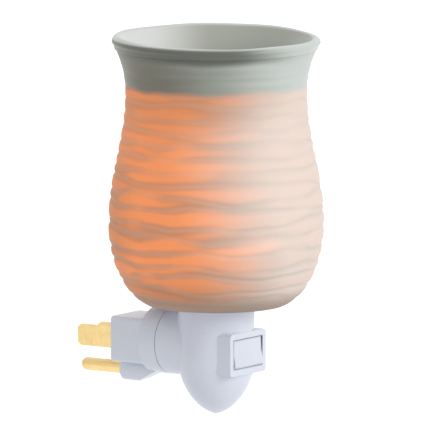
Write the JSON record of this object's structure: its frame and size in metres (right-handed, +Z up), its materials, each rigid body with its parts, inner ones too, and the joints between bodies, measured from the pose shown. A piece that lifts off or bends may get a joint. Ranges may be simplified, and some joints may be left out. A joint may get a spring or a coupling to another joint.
{
  "type": "plug-in wax melt warmer",
  "caption": "Plug-in wax warmer: ridged translucent ceramic shade with a glazed dish on top, over a lamp, on a plastic base with a swivel plug and a rocker switch.",
  "frame": {"origin": "middle of the plug's flat face, on the swivel axis", "axes": "+Y into the wall, along the blades and the swivel axis; +Z up, along the lamp's and the shade's axis; the rocker switch faces -Y"},
  "size_m": [0.0796, 0.1001, 0.1401],
  "materials": {
    "white_plastic": "smooth, cool white",
    "pale_plastic": "satin",
    "dark_plastic": "satin",
    "board": "pressed laminate",
    "porcelain": "unglazed",
    "brass": "bright",
    "steel": "zinc plated",
    "cap_metal": "rolled",
    "black_glass": "glossy",
    "clear_glass": "clear",
    "filament": "fine wire",
    "black_wire": "smooth insulation",
    "white_wire": "smooth insulation",
    "shade_ceramic": "translucent, ridged",
    "dish_glaze": "sage green glaze"
  },
  "bodies": {
    "housing": {"housing_left": "white_plastic", "housing_right": "white_plastic", "housing_screws": "steel", "shade_collar": "white_plastic", "contact_plate": "board", "line_stud": "brass", "neutral_ring": "brass", "switch_case": "dark_plastic", "lever_saddle": "brass", "switched_terminal": "brass", "socket_body": "porcelain", "socket_shell": "brass", "socket_contact": "brass", "line_lead": "black_wire", "switched_lead": "black_wire", "neutral_lead": "white_wire"},
    "plug_head": {"plug_body": "white_plastic", "swivel_hub": "pale_plastic", "hub_screws": "steel", "line_blade": "brass", "neutral_blade": "brass", "earth_pin": "brass", "line_wiper": "brass", "neutral_wiper": "brass"},
    "rocker": {"rocker": "white_plastic", "rocker_plunger": "pale_plastic", "plunger_spring": "steel"},
    "contact_lever": {"contact_lever": "brass"},
    "bulb": {"bulb_glass": "clear_glass", "bulb_cap": "cap_metal", "cap_insulator": "black_glass", "cap_tip": "cap_metal", "lamp_stem": "clear_glass", "filament": "filament"},
    "shade": {"shade": "shade_ceramic"},
    "dish": {"dish": "dish_glaze"}
  },
  "joints": [
    {"name": "plug_swivel", "type": "hinge", "parent": "housing", "child": "plug_head", "pos_m": [0, 0, 0], "axis": [0, 1, 0], "range_deg": [0, 90]},
    {"name": "rocker_tilt", "type": "hinge", "parent": "housing", "child": "rocker", "pos_m": [0, -0.05, -0.002], "axis": [1, 0, 0], "range_deg": [0, 14]},
    {"name": "lever_tip", "type": "hinge", "parent": "housing", "child": "contact_lever", "pos_m": [0, -0.0448, -0.002], "axis": [1, 0, 0], "range_deg": [-10, 0]},
    {"name": "bulb_unscrew", "type": "slide", "parent": "housing", "child": "bulb", "axis": [0, 0, 1], "range_m": [0, 0.012]},
    {"name": "shade_lift", "type": "slide", "parent": "housing", "child": "shade", "axis": [0, 0, 1], "range_m": [0, 0.06]},
    {"name": "dish_lift", "type": "slide", "parent": "shade", "child": "dish", "axis": [0, 0, 1], "range_m": [0, 0.03]}
  ],
  "couplings": [
    {"joint": "lever_tip", "follows": "rocker_tilt", "ratio": -0.71429}
  ]
}
